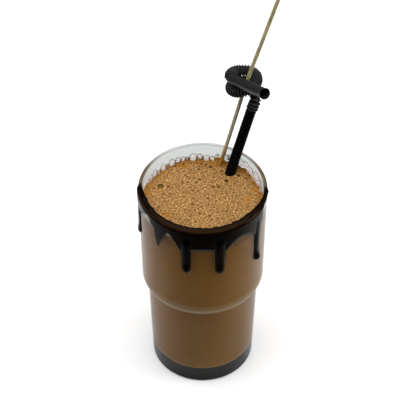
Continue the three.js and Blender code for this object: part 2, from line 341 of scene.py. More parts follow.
def swept(line, stations, sides):
    """A tube round the line from stations (distance along it, radius, ridge), open at its ends.

    The ridge, 0 to 1, is kept as an attribute of the points; on the straw it carries painted highlight.
    """
    bm = bmesh.new()
    ridges = bm.verts.layers.float.new("ridge")
    along = distances(line)
    at = 0
    previous = None
    ring = []
    for distance, radius, ridge in stations:
        while at < len(along) - 2 and along[at + 1] < distance:
            at += 1
        share = (distance - along[at]) / (along[at + 1] - along[at])
        point = line[at].lerp(line[at + 1], share)
        towards = (line[min(at + 2, len(line) - 1)] - line[max(at - 1, 0)]).normalized()
        if previous is None:
            turn = Vector((0, 0, 1)).rotation_difference(towards).to_matrix()
            matrix = Matrix.Translation(point) @ turn.to_4x4()
            made = bmesh.ops.create_circle(bm, cap_ends=False, radius=radius, segments=sides, matrix=matrix)
            verts = made["verts"]
            ring = list({edge for vert in verts for edge in vert.link_edges})
        else:
            old_point, old_towards, old_radius = previous
            made = bmesh.ops.extrude_edge_only(bm, edges=ring)["geom"]
            ring = [item for item in made if isinstance(item, bmesh.types.BMEdge)]
            verts = [item for item in made if isinstance(item, bmesh.types.BMVert)]
            swing = old_towards.rotation_difference(towards).to_matrix().to_4x4()
            grow = Matrix.Scale(radius / old_radius, 4)
            matrix = Matrix.Translation(point) @ swing @ grow @ Matrix.Translation(-old_point)
            bmesh.ops.transform(bm, matrix=matrix, verts=verts)
        for vert in verts:
            vert[ridges] = ridge
        previous = (point, towards, radius)
    bmesh.ops.recalc_face_normals(bm, faces=bm.faces)
    return bm


# The glass.


class TumblerSettings(bpy.types.PropertyGroup):
    height: length("Height", 149.7, "Height of the glass")
    rim_radius: length("Rim radius", 40.5, "Outer radius at the rim")
    rim_wall: length("Wall", 2.4, "Wall above the shoulder")
    rim_round: length("Rim rounding", 1.1, "Rounding of the outer edge of the rim")
    lip_round: length("Lip rounding", 0.4, "Rounding of the inner edge of the rim")
    shoulder_radius: length("Shoulder radius", 39.26, "Outer radius where the wall starts above the step")
    shoulder_height: length("Shoulder height", 74.05, "Height of the shoulder")
    shoulder_round: length("Shoulder rounding", 6.2, "Rounding of the shoulder")
    inner_shoulder_rise: length("Inner shoulder", 1.5, "How much higher the shoulder is inside")
    inner_shoulder_round: length("Inner shoulder rounding", 4.0, "Rounding of the shoulder inside")
    step_radius: length("Step radius", 35.65, "Outer radius below the step")
    step_height: length("Step height", 70.2, "Height of the step")
    step_wall: length("Wall below", 2.6, "Wall below the step")
    inner_step_drop: length("Inner step", 1.0, "How much lower the step is inside")
    inner_step_round: length("Inner step rounding", 1.2, "Rounding of the step inside")
    crease: length("Crease", 0.8, "Rounding of the step outside and of the standing ring")
    heel_radius: length("Heel radius", 33.25, "Outer radius at the foot")
    heel_round: length("Heel rounding", 1.7, "Rounding of the foot")
    ring_inside: length("Hollow radius", 27.5, "Radius of the hollow inside the standing ring")
    ring_radius: length("Ring radius", 29.5, "Inner radius of the ring that touches the table")
    hollow_round: length("Hollow rounding", 1.0, "Rounding of the edge of the hollow")
    push_up: length("Push-up", 0.6, "Hollow of the underside")
    floor_height: length("Floor height", 11.5, "Thickness of the base")
    floor_radius: length("Floor radius", 31.0, "Inner radius at the floor")
    floor_round: length("Floor rounding", 2.0, "Rounding where the wall meets the floor")
    steps: IntProperty(name="Steps", description="Faces round the glass", default=160, min=24)
    colour: tint("Glass", "#e9eeec", "Tint of the glass")
    rim: tint("Rim", "#b8d1f3", "Tint of the glass seen through the rim, down the length of the wall")
    shine: tint("Shine", "#9a9a9a", "Strength of the reflections seen face on")
    # The pale colour is painted light: the rim's top glows pale with the light that comes through it, most
    # at the back.
    pale: tint("Pale rim", "#dcdedc", "Clean fire-polished rim")


def soda_lime_glass(settings):
    """Pressed and fire-polished soda-lime glass: clear, sharp reflections, a faint grey-green tint.

    The rim's top carries painted light, a pale glow that is strongest at the back and fades toward the
    sauce.
    """
    material, tree = new_material("soda_lime_glass")
    place = add_node(tree, "TexCoord").outputs["Object"]
    parts = add_node(tree, "SeparateXYZ", {"Vector": place}).outputs
    rim = {"From Min": settings.height - 0.7 * MM, "From Max": settings.height - 0.4 * MM}
    on_rim = add_node(tree, "MapRange", {"Value": parts["Z"], **rim})
    # Painted light: a pale glow on the rim's top, faint at the front and strong at the back.
    back = {"From Min": 12 * MM, "From Max": 40 * MM, "To Min": 0.05, "To Max": 0.7}
    painted_glow_to_back = add_node(tree, "MapRange", {"Value": parts["Y"], **back}, SOFT_STEP)
    pale = add_node(tree, "Math", {0: on_rim, 1: painted_glow_to_back}, {"operation": "MULTIPLY"})
    colour = add_node(tree, "Mix", {"Factor": on_rim, "A": settings.colour, "B": settings.rim}, IN_COLOUR)
    glass = add_node(
        tree,
        "BsdfPrincipled",
        {
            "Base Color": colour,
            "Roughness": 0.0,
            "IOR": 1.5,
            "Specular Tint": settings.shine,
            "Transmission Weight": 1.0,
        },
    )
    painted_rim_glow = add_node(tree, "BsdfPrincipled", {"Base Color": settings.pale, "Roughness": 0.4, "IOR": 1.5})
    surface = add_node(tree, "MixShader", {0: pale, 1: glass, 2: painted_rim_glow})
    add_node(tree, "OutputMaterial", {"Surface": surface})
    return material


class ICED_OT_tumbler(bpy.types.Operator):
    """Add the stepped glass"""

    bl_idname = "iced_chocolate.tumbler"
    bl_label = "Tumbler"

    def execute(self, context):
        glass = context.scene.iced_tumbler
        outside = [
            (0, glass.push_up, 0),
            (glass.ring_inside, glass.push_up, glass.hollow_round),
            (glass.ring_radius, 0, glass.crease),
            (glass.heel_radius, 0, glass.heel_round),
            (glass.step_radius, glass.step_height, glass.crease),
            (glass.shoulder_radius, glass.shoulder_height, glass.shoulder_round),
            (glass.rim_radius, glass.height, glass.rim_round),
            (glass.rim_radius - glass.rim_wall, glass.height, glass.lip_round),
        ]
        inside = inside_corners(glass, 0, glass.height - glass.rim_wall)[:-1]
        bm = turned(rounded_outline(outside + inside[::-1]), glass.steps)
        finish_piece("stepped_tumbler", bm, soda_lime_glass(glass), "glass")
        return {"FINISHED"}


# The drink.


class DrinkSettings(bpy.types.PropertyGroup):
    level: length("Drink level", 131.5, "Height of the top of the drink")
    froth_level: length("Froth level", 138.0, "Height of the top of the froth")
    colour: tint("Drink", "#c18936", "Milk with chocolate")
    deep: tint("Drink, lower", "#a27128", "Milk with chocolate that has settled")
    # The step colour is painted light: a band over the step of the glass and a thin highlight just above the
    # floor.
    step: tint("Drink, at the step", "#efcf9c", "Drink where the wall bends outward and takes more light")
    # The settled colour is painted shade: a nearly black band where the drink lies on the floor, seen
    # through the base.
    settled: tint("Drink, at the floor", "#1a1512", "Chocolate settled on the floor of the glass")


def milk_chocolate(settings, glass):
    """Cold milk with melted chocolate: opaque, softly cloudy, darker toward the bottom.

    It has a painted band of light over the step of the glass and a thin painted highlight just above the
    floor, and painted shade makes it nearly black where it lies on the floor.
    """
    material, tree = new_material("milk_chocolate")
    place = add_node(tree, "TexCoord").outputs["Object"]
    cloudy = {"Scale": 1 / (28 * MM), "Detail": 3.0, "Roughness": 0.5, "Distortion": 0.6}
    cloud = add_node(tree, "TexNoise", {"Vector": place, **cloudy})
    height = add_node(tree, "SeparateXYZ", {"Vector": place}).outputs["Z"]
    upward = {"From Min": 0.0, "From Max": 110 * MM, "To Min": 0.0, "To Max": 0.8}
    rise = add_node(tree, "MapRange", {"Value": height, **upward}, SOFT_STEP)
    added = {"operation": "MULTIPLY_ADD", "use_clamp": True}
    share = add_node(tree, "Math", {0: cloud, 1: 0.5, 2: rise}, added)
    colour = add_node(tree, "Mix", {"Factor": share, "A": settings.deep, "B": settings.colour}, IN_COLOUR)
    # Height of the middle of each band, its half width, its colour and how much of it shows. The two bands
    # over the step are painted light, the thin one above the floor a painted highlight, and the last one
    # painted shade.
    bands = (
        (glass.step_height + 6.5 * MM, 4.0 * MM, settings.step, 0.3),
        (glass.step_height + 3.2 * MM, 3.2 * MM, settings.step, 1.0),
        (glass.floor_height + 1.6 * MM, 1.0 * MM, settings.step, 0.35),
        (glass.floor_height, 0.9 * MM, settings.settled, 1.0),
    )
    for middle, half, layer, most in bands:
        above = add_node(tree, "Math", {0: height, 1: middle}, {"operation": "SUBTRACT"})
        apart = add_node(tree, "Math", {0: above}, {"operation": "ABSOLUTE"})
        fade = {"From Min": 0.0, "From Max": half, "To Min": most, "To Max": 0.0}
        here = add_node(tree, "MapRange", {"Value": apart, **fade}, SOFT_STEP)
        colour = add_node(tree, "Mix", {"Factor": here, "A": colour, "B": layer}, IN_COLOUR)
    body = add_node(
        tree,
        "BsdfPrincipled",
        {
            "Base Color": colour,
            "Roughness": 0.35,
            "IOR": 1.35,
            "Specular IOR Level": 0.05,
            "Subsurface Weight": 0.4,
            "Subsurface Radius": (1.0, 0.6, 0.3),
            "Subsurface Scale": 3 * MM,
        },
    )
    add_node(tree, "OutputMaterial", {"Surface": body})
    return material


class ICED_OT_drink(bpy.types.Operator):
    """Add the drink up to the froth"""

    bl_idname = "iced_chocolate.drink"
    bl_label = "Drink"

    def execute(self, context):
        glass, drink = context.scene.iced_tumbler, context.scene.iced_drink
        corners = inside_corners(glass, WET_IN, drink.level)
        bm = turned(rounded_outline([*corners, (0, drink.level, 0)]), glass.steps)
        finish_piece("chocolate_milk", bm, milk_chocolate(drink, glass), "drink")
        return {"FINISHED"}


# The froth.


# What is written at each point of the froth's surface, 0 to 1.
FROTH_MARKS = ("inside", "ring", "net", "hole", "amber")

# The share of the bubbles in relief that is darker, and how dark those and the others are.
DARKER_SHARE = 0.2
DARKER = (0.3, 0.75)
LIGHTER = (0.0, 0.25)

# How much of a bubble's light wall shows, and of the film of a light and of a dark bubble. The height of the
# dome as a share of its radius, and how much of that a dark bubble takes off.
WALL_SHOWN = 0.6
FILM_SHOWN = (0.8, 1.0)
DOME = 0.4
PIT = 0.9

# Amber froth: the share of the surface's radius where it starts along the wall, from where to where it gains
# strength toward the back in millimetres, how far a patch reaches for its radius, and how much of it shows.
AMBER_FROM = 0.86
AMBER_FRONT, AMBER_BACK = -25, 15
AMBER_REACH = 1.2
AMBER_SHOWN = 0.9

# The share of the surface's radius where the froth starts to climb the wall.
CLIMB_FROM = 0.955


class FrothSettings(bpy.types.PropertyGroup):
    grid: length("Grid", 0.25, "Spacing of the points of the surface")
    smallest: length("Smallest bubble", 0.55, "Radius of the smallest bubble in relief")
    largest: length("Largest bubble", 1.6, "Radius of the largest bubble in relief")
    film_width: length("Film", 0.34, "Width of the dark film inside a bubble's edge")
    net_out: length("Net", 0.3, "How far outside a bubble's edge its light wall lies")
    net_height: length("Net height", 0.06, "How far that wall is raised")
    swell: length("Swell", 0.25, "Height of the broad unevenness of the surface")
    swell_size: length("Swell size", 9.0, "Size of that unevenness")
    fleck_size: length("Fleck size", 2.2, "Size of the unevenness of the amber froth and of its edge")
    climb: length("Climb", 0.6, "How far the froth climbs the wall, for each unit of the unevenness")
    bubbles: IntProperty(name="Bubbles", description="Bubbles in relief", default=1400, min=0)
    seed: IntProperty(name="Seed", description="Seed of the bubbles' places", default=5)
    colour: tint("Froth", "#8a5f33", "Froth between the bubbles")
    light: tint("Froth, light", "#b68b54", "Walls between the bubbles")
    film: tint("Film", "#4c2c0c", "Inside of the bubbles' edges")
    hole: tint("Hole", "#453004", "Bubbles that are open to the drink below")
    # The fleck colour is painted highlight: light specks that stand in for glints on the bubbles' tops.
    fleck: tint("Flecks", "#ecc894", "Specks of the finest foam")
    side: tint("Side", "#b98134", "Froth that the drink has soaked, below the surface")
    amber: tint("Amber", "#a06614", "Thin syrupy froth near the wall")


def froth_bubbles(froth, reach):
    """Bubbles (x, y, radius, darkness) spread over the surface, none on top of another."""
    draw = random.Random(froth.seed)
    bubbles = []
    # The same bubbles by the cell of a coarse grid that they lie in.
    taken = {}
    cell = 2.2 * froth.largest

    def fits(x, y, radius):
        column, row = int(x // cell), int(y // cell)
        for i in range(column - 2, column + 3):
            for j in range(row - 2, row + 3):
                for other in taken.get((i, j), ()):
                    if math.hypot(x - other[0], y - other[1]) < radius + other[2]:
                        return False
        return True

    def keep(bubble):
        bubbles.append(bubble)
        taken.setdefault((int(bubble[0] // cell), int(bubble[1] // cell)), []).append(bubble)

    for x, y, radius, dark in MARKED_BUBBLES:
        keep((x * MM, y * MM, radius * MM, dark))
    # Small bubbles are commoner than large ones.
    for _ in range(20 * froth.bubbles):
        if len(bubbles) >= froth.bubbles:
            break
        radius = mix(froth.smallest, froth.largest, draw.random() ** 1.4)
        away = (reach - radius) * math.sqrt(draw.random())
        turn = draw.uniform(0, 2 * math.pi)
        x, y = away * math.cos(turn), away * math.sin(turn)
        dark = draw.uniform(*DARKER) if draw.random() < DARKER_SHARE else draw.uniform(*LIGHTER)
        if fits(x, y, radius):
            keep((x, y, radius, dark))
    return bubbles


def milk_froth(settings, level):
    """Whipped milk froth: soft and beige, bubbles with light walls and darker insides, amber near the wall.

    Below its surface, beside the glass, it has the colour of the drink. Light specks over it are painted
    highlight.
    """
    material, tree = new_material("milk_froth")
    place = add_node(tree, "TexCoord").outputs["Object"]
    marks = {}
    for name in FROTH_MARKS:
        marks[name] = add_node(tree, "Attribute", None, {"attribute_name": name}).outputs["Fac"]
    # Bubbles between those in relief, 1.7 mm apart: light walls, darker insides.
    apart = {"Vector": place, "Scale": 1 / (1.7 * MM), "Randomness": 1.0}
    walls = add_node(tree, "TexVoronoi", apart, {"feature": "DISTANCE_TO_EDGE"})
    hollow = {"From Min": 0.02, "From Max": 0.3, "To Min": 0.0, "To Max": 0.6}
    inside = add_node(tree, "MapRange", {"Value": walls, **hollow}, SOFT_STEP)
    # Painted highlight: light specks 2.6 mm apart that stand in for glints on the bubbles.
    glint_cells = add_node(tree, "TexVoronoi", {"Vector": place, "Scale": 1 / (2.6 * MM), "Randomness": 1.0})
    glint_spots = {"From Min": 0.07, "From Max": 0.2, "To Min": 0.6, "To Max": 0.0}
    fleck = add_node(tree, "MapRange", {"Value": glint_cells, **glint_spots})
    height = add_node(tree, "SeparateXYZ", {"Vector": place}).outputs["Z"]
    downward = {"From Min": level - 1.8 * MM, "From Max": level - 0.8 * MM, "To Min": 1.0, "To Max": 0.0}
    sunk = add_node(tree, "MapRange", {"Value": height, **downward})
    cloud = add_node(tree, "TexNoise", {"Vector": place, "Scale": 1 / (9 * MM), "Detail": 2.0})
    cloudy = {"From Min": 0.35, "From Max": 0.65, "To Min": 0.0, "To Max": 0.35}
    patch = add_node(tree, "MapRange", {"Value": cloud, **cloudy})
    ground = add_node(tree, "Mix", {"Factor": patch, "A": settings.colour, "B": settings.light}, IN_COLOUR)
    colour = add_node(tree, "Mix", {"Factor": inside, "A": settings.light, "B": settings.film}, IN_COLOUR)
    layers = (
        (marks["inside"], ground),
        (marks["ring"], settings.film),
        (marks["net"], settings.light),
        (fleck, settings.fleck),
        (marks["amber"], settings.amber),
        (marks["hole"], settings.hole),
        (sunk, settings.side),
    )
    for factor, layer in layers:
        colour = add_node(tree, "Mix", {"Factor": factor, "A": colour, "B": layer}, IN_COLOUR)
    relief = add_node(tree, "Bump", {"Height": inside, "Strength": 0.5, "Distance": 0.25 * MM})
    body = add_node(
        tree,
        "BsdfPrincipled",
        {
            "Base Color": colour,
            "Roughness": 0.4,
            "IOR": 1.35,
            "Specular IOR Level": 0.15,
            "Subsurface Weight": 0.1,
            "Subsurface Radius": (1.0, 0.6, 0.3),
            "Subsurface Scale": 1 * MM,
            "Normal": relief,
        },
    )
    add_node(tree, "OutputMaterial", {"Surface": body})
    return material


class ICED_OT_froth(bpy.types.Operator):
    """Add the froth with its bubbles in relief"""

    bl_idname = "iced_chocolate.froth"
    bl_label = "Froth"

    def execute(self, context):
        scene = context.scene
        glass, drink, froth = scene.iced_tumbler, scene.iced_drink, scene.iced_froth
        reach = inner_radius(glass, drink.froth_level) + WET_IN
        count = round(2 * reach / froth.grid)
        step = 2 * reach / count
        bm = bmesh.new()
        # A square grid, cut to the round of the wall and with its edge moved onto it.
        bmesh.ops.create_grid(bm, x_segments=count, y_segments=count, size=reach)
        outside = [v for v in bm.verts if v.co.length > reach - 0.3 * step]
        bmesh.ops.delete(bm, geom=outside, context="VERTS")
        for vert in bm.verts:
            if vert.is_boundary:
                vert.co = vert.co.normalized() * reach
        self.add_relief(bm, froth, reach, step)
        bmesh.ops.translate(bm, vec=(0, 0, drink.froth_level), verts=bm.verts)
        self.press_cells(bm, foam_cells(glass))
        # The side follows the wall down to the drink.
        edge = [e for e in bm.edges if e.is_boundary]
        made = bmesh.ops.extrude_edge_only(bm, edges=edge)["geom"]
        low = inner_radius(glass, drink.level) + WET_IN
        for vert in (item for item in made if isinstance(item, bmesh.types.BMVert)):
            vert.co = Vector((vert.co.x * low / reach, vert.co.y * low / reach, drink.level))
        bottom = [item for item in made if isinstance(item, bmesh.types.BMEdge)]
        bmesh.ops.edgeloop_fill(bm, edges=[e for e in bottom if e.is_boundary])
        bmesh.ops.recalc_face_normals(bm, faces=bm.faces)
        finish_piece("bubbly_froth", bm, milk_froth(froth, drink.froth_level), "froth")
        return {"FINISHED"}

    def add_relief(self, bm, froth, reach, step):
        """Shapes the surface and its bubbles, and writes what each point of it is."""
        layers = {name: bm.verts.layers.float.new(name) for name in FROTH_MARKS}
        grid = {}
        for vert in bm.verts:
            grid.setdefault((round(vert.co.x / step), round(vert.co.y / step)), []).append(vert)
            self.shape_ground(vert, layers, froth, reach)
        for bubble in froth_bubbles(froth, reach):
            x, y, radius, dark = bubble
            span = math.ceil((radius + froth.film_width) / step) + 1
            column, row = round(x / step), round(y / step)
            for i in range(column - span, column + span + 1):
                for j in range(row - span, row + span + 1):
                    for vert in grid.get((i, j), ()):
                        self.shape_bubble(vert, layers, froth, bubble)

    def shape_ground(self, vert, layers, froth, reach):
        """The broad unevenness, the climb at the wall, and the amber froth near the back of the wall."""
        away = vert.co.length / reach
        swell = noise.noise(vert.co / froth.swell_size)
        syrupy = smooth(away, AMBER_FROM, 1.0) * smooth(vert.co.y, AMBER_FRONT * MM, AMBER_BACK * MM)
        for x, y, radius in AMBER_PATCHES:
            apart = math.hypot(vert.co.x - x * MM, vert.co.y - y * MM) / (radius * MM)
            syrupy = max(syrupy, AMBER_REACH - apart)
        fleck = 0.8 + 1.5 * noise.noise(vert.co / froth.fleck_size)
        vert[layers["amber"]] = AMBER_SHOWN * min(1.0, max(0.0, syrupy * fleck))
        vert.co.z = froth.swell * swell + (1.4 + fleck) * froth.climb * smooth(away, CLIMB_FROM, 1.0)

    def shape_bubble(self, vert, layers, froth, bubble):
        """A low dome with a dark film inside its edge and a light wall round it; a dark bubble is a pit."""
        x, y, radius, dark = bubble
        away = math.hypot(vert.co.x - x, vert.co.y - y)
        wall = max(0.0, 1 - abs(away - radius - froth.net_out) / froth.film_width)
        film = max(0.0, 1 - abs(away - radius + 0.6 * froth.film_width) / froth.film_width)
        marks = {"net": WALL_SHOWN * wall, "ring": mix(*FILM_SHOWN, dark) * film}
        vert.co.z += froth.net_height * wall
        if away < radius:
            dome = math.sqrt(1 - (away / radius) ** 2)
            marks["inside"] = smooth(dome, 0.0, 0.3)
            marks["hole"] = dark * smooth(dome, 0.1, 0.7)
            vert.co.z += radius * dome * (DOME - PIT * dark)
        for name, mark in marks.items():
            vert[layers[name]] = max(vert[layers[name]], mark)

    def press_cells(self, bm, cells, depth=1.8, steepness=0.25):
        """Sinks the froth under each foam cell, so that the cell shows down to its lower edge.

        The pit is as deep as the given share of the cell's radius, and its sides are steep.
        """
        for vert in bm.verts:
            for centre, radius in cells:
                away = (vert.co.xy - centre.xy).length / radius
                if away < 1:
                    vert.co.z = min(vert.co.z, centre.z - depth * radius * (1 - away**2) ** steepness)


# The foam cells against the back of the wall.


class FoamSettings(bpy.types.PropertyGroup):
    pressed: FloatProperty(
        name="Pressed",
        description="How near a cell's middle is to the wall, as a share of its radius",
        default=0.35,
        min=0.0,
        max=1.0,
        subtype="FACTOR",
    )
    border: length("Border", 0.4, "Half width of the film where two walls meet")
    line: length("Line", 0.17, "Radius of the line of liquid along the tops of the cells")
    node: length("Node", 0.5, "Radius of the largest drop of liquid on that line")
    seed: IntProperty(name="Seed", description="Seed of the drops' sizes", default=3)
    film: tint("Film", "#6b5018", "Brown film where the walls of cells meet")
    wall: tint("Wall", "#fff2ee", "Thin wall of a cell")
    clear: tint("Clear", "#fffcfc", "Tint of what shows through a wall")


def foam_film(settings):
    """Soap-like film of milk and syrup: clear thin walls that shine, amber where they meet."""
    material, tree = new_material("foam_film")
    border = add_node(tree, "Attribute", None, {"attribute_name": "border"}).outputs["Fac"]
    liquid = add_node(tree, "MapRange", {"Value": border, "From Min": 0.1, "From Max": 0.5})
    colour = add_node(tree, "Mix", {"Factor": liquid, "A": settings.wall, "B": settings.film}, IN_COLOUR)
    skin = add_node(tree, "BsdfPrincipled", {"Base Color": colour, "Roughness": 0.1, "IOR": 1.33})
    clear = add_node(tree, "BsdfTransparent", {"Color": settings.clear})
    thicker = {"From Min": 0.1, "From Max": 0.8, "To Min": 0.16, "To Max": 0.95}
    shown = add_node(tree, "MapRange", {"Value": border, **thicker})
    film = add_node(tree, "MixShader", {0: shown, 1: clear, 2: skin})
    add_node(tree, "OutputMaterial", {"Surface": film})
    return material


def brown_liquid(settings):
    """Thin line of drink that hangs on the wall: olive brown, paler where it is drawn out."""
    material, tree = new_material("brown_liquid")
    place = add_node(tree, "TexCoord").outputs["Object"]
    uneven = add_node(tree, "TexNoise", {"Vector": place, "Scale": 1 / (3 * MM)})
    paler = {"From Min": 0.35, "From Max": 0.65, "To Min": 0.0, "To Max": 0.35}
    share = add_node(tree, "MapRange", {"Value": uneven, **paler})
    colour = add_node(tree, "Mix", {"Factor": share, "A": settings.film, "B": settings.wall}, IN_COLOUR)
    body = add_node(tree, "BsdfPrincipled", {"Base Color": colour, "Roughness": 0.2, "IOR": 1.33})
    add_node(tree, "OutputMaterial", {"Surface": body})
    return material


def foam_cells(glass):
    """Middle and radius of each foam cell, pressed against the inside of the wall."""
    pressed = bpy.context.scene.iced_foam.pressed
    return [
        (round_about(azimuth, inner_radius(glass, z * MM) - pressed * radius * MM, z * MM), radius * MM)
        for azimuth, z, radius in FOAM_CELLS
    ]


class ICED_OT_foam(bpy.types.Operator):
    """Add the large foam cells along the back of the wall"""

    bl_idname = "iced_chocolate.foam"
    bl_label = "Foam cells"

    def execute(self, context):
        glass, foam = context.scene.iced_tumbler, context.scene.iced_foam
        cells = foam_cells(glass)
        half_gap = 0.02 * MM
        bm = bmesh.new()
        border = bm.verts.layers.float.new("border")
        for centre, radius in cells:
            planes = []
            for other, other_radius in cells:
                apart = other - centre
                if 0 < apart.length < radius + other_radius:
                    middle = (apart.length_squared + radius**2 - other_radius**2) / (2 * apart.length)
                    planes.append((apart.normalized(), middle - half_gap))
            self.add_cell(bm, border, glass, centre, radius, planes, foam.border)
        finish_piece("foam_cells", bm, foam_film(foam), "froth")
        self.add_line(glass, foam)
        return {"FINISHED"}

    def add_cell(self, bm, border, glass, centre, radius, planes, width, from_wall=0.04 * MM):
        """One bubble, pressed flat against its neighbours and against the curve of the wall.

        Its border, where it meets them, is marked, and most where two borders meet.
        """
        matrix = Matrix.Translation(centre)
        made = bmesh.ops.create_icosphere(bm, subdivisions=5, radius=radius, matrix=matrix)
        for vert in made["verts"]:
            beside = radius
            for normal, reach in planes:
                past = (vert.co - centre).dot(normal) - reach
                beside = min(beside, abs(past))
                if past > 0:
                    vert.co -= normal * past
            limit = inner_radius(glass, vert.co.z) - from_wall
            past = vert.co.xy.length - limit
            if past > 0:
                vert.co.xy = vert.co.xy.normalized() * limit
            line = max(0.0, 1 - min(beside, abs(past)) / width)
            node = max(0.0, 1 - max(beside, abs(past)) / (3 * width))
            vert[border] = min(1.0, 0.7 * line + node)

    def add_line(self, glass, foam, steps=440, wide=1.2, high=1.3, off_wall=1.5, smallest=0.45):
        """The line of liquid on the wall that arches over the cells, with drops where two arches meet.

        An arch is as wide and as high as the given shares of its cell's radius. The line's middle is off the
        wall by a share of its own radius, and the smallest drop is a share of the largest.
        """
        first, last = FOAM_CELLS[0][0], FOAM_CELLS[-1][0]
        points = []
        over = []
        for k in range(steps + 1):
            azimuth = mix(first, last, k / steps)
            arches = []
            for place, z, radius in FOAM_CELLS:
                wall = inner_radius(glass, z * MM)
                across = math.radians(azimuth - place) * wall / (wide * radius * MM)
                rise = math.sqrt(1 - across**2) if abs(across) < 1 else 1 - abs(across)
                arches.append((z + high * radius * rise) * MM)
            height = max(arches)
            over.append(arches.index(height))
            points.append(round_about(azimuth, inner_radius(glass, height) - off_wall * foam.line, height))
        bm = swept(points, [(distance, foam.line, 0.0) for distance in distances(points)[:-1]], 8)
        draw = random.Random(foam.seed)
        for point, cell, next_cell in zip(points, over, over[1:]):
            if cell != next_cell:
                radius = foam.node * draw.uniform(smallest, 1.0)
                matrix = Matrix.Translation(point)
                bmesh.ops.create_icosphere(bm, subdivisions=3, radius=radius, matrix=matrix)
        close_ends(bm)
        finish_piece("foam_line", bm, brown_liquid(foam), "froth")


# The chocolate sauce.


# Degrees over which the sauce thins to nothing at both of its ends.
END_FADE = 5

# Degrees over which the bead inside the rim swells, from the first end of the sauce and from its last, then
# how uneven it is, as a share of its size, and the degrees over which that changes.
BEAD_FROM_FIRST = (-3, 20)
BEAD_FROM_LAST = (4, 45)
BEAD_UNEVEN = 0.25
BEAD_WAVE = 5


class SauceSettings(bpy.types.PropertyGroup):
    coat: length("Coat", 0.8, "Thickness of the coat outside")
    rim_coat: length("Coat on the rim", 0.5, "Thickness of the coat on the rim")
    edge_round: length("Edge", 2.5, "Height over which the coat thins to its lower line")
    tip_round: length("Tip", 1.5, "Height over which the tip of a drip thins")
    runs_from: length("Drips from", 2.0, "Depth below the rim where the drips start to stand out")
    runs_full: length("Drips full", 12.0, "Depth below the rim where the drips stand out in full")
    bead: length("Bead", 2.1, "How far the bead inside the rim stands out")
    bead_depth: length("Bead depth", 4.0, "How far the bead reaches down inside")
    thin_edge: length("Thin edge", 0.3, "Least thickness")
    thin_from: length("Thin from", 1.6, "How far inside the rim's edge the sauce starts to be thin")
    thin_full: length("Thin full", 0.4, "How far inside the rim's edge it is thinnest")
    thin_depth: length("Thin depth", 2.0, "How far down from the rim's top it is thin")
    highest_end: length("Highest end", 147.4, "Height that the lower line stays under")
    columns: IntProperty(name="Columns", description="Steps round the glass", default=460, min=20)
    colour: tint("Sauce", "#050403", "Chocolate sauce")
    # The thin colour is partly the browner tone of thin sauce and partly a painted highlight along the rim's
    # outer edge.
    thin: tint("Thin sauce", "#160a03", "Sauce where it is thin on the rim")
    gloss: tint("Gloss", "#c89a70", "Tint of the reflections seen face on")


def sauce_line_height(azimuth):
    """Height of the coat's lower line, smooth through its points."""
    for i in range(len(SAUCE_LINE) - 1):
        (a, low), (b, high) = SAUCE_LINE[i], SAUCE_LINE[i + 1]
        if azimuth <= b:
            break
    before = SAUCE_LINE[max(i - 1, 0)]
    after = SAUCE_LINE[min(i + 2, len(SAUCE_LINE) - 1)]
    leave = (high - before[1]) / (b - before[0]) * (b - a)
    arrive = (after[1] - low) / (after[0] - a) * (b - a)
    return cubic(low, leave, high, arrive, (azimuth - a) / (b - a)) * MM


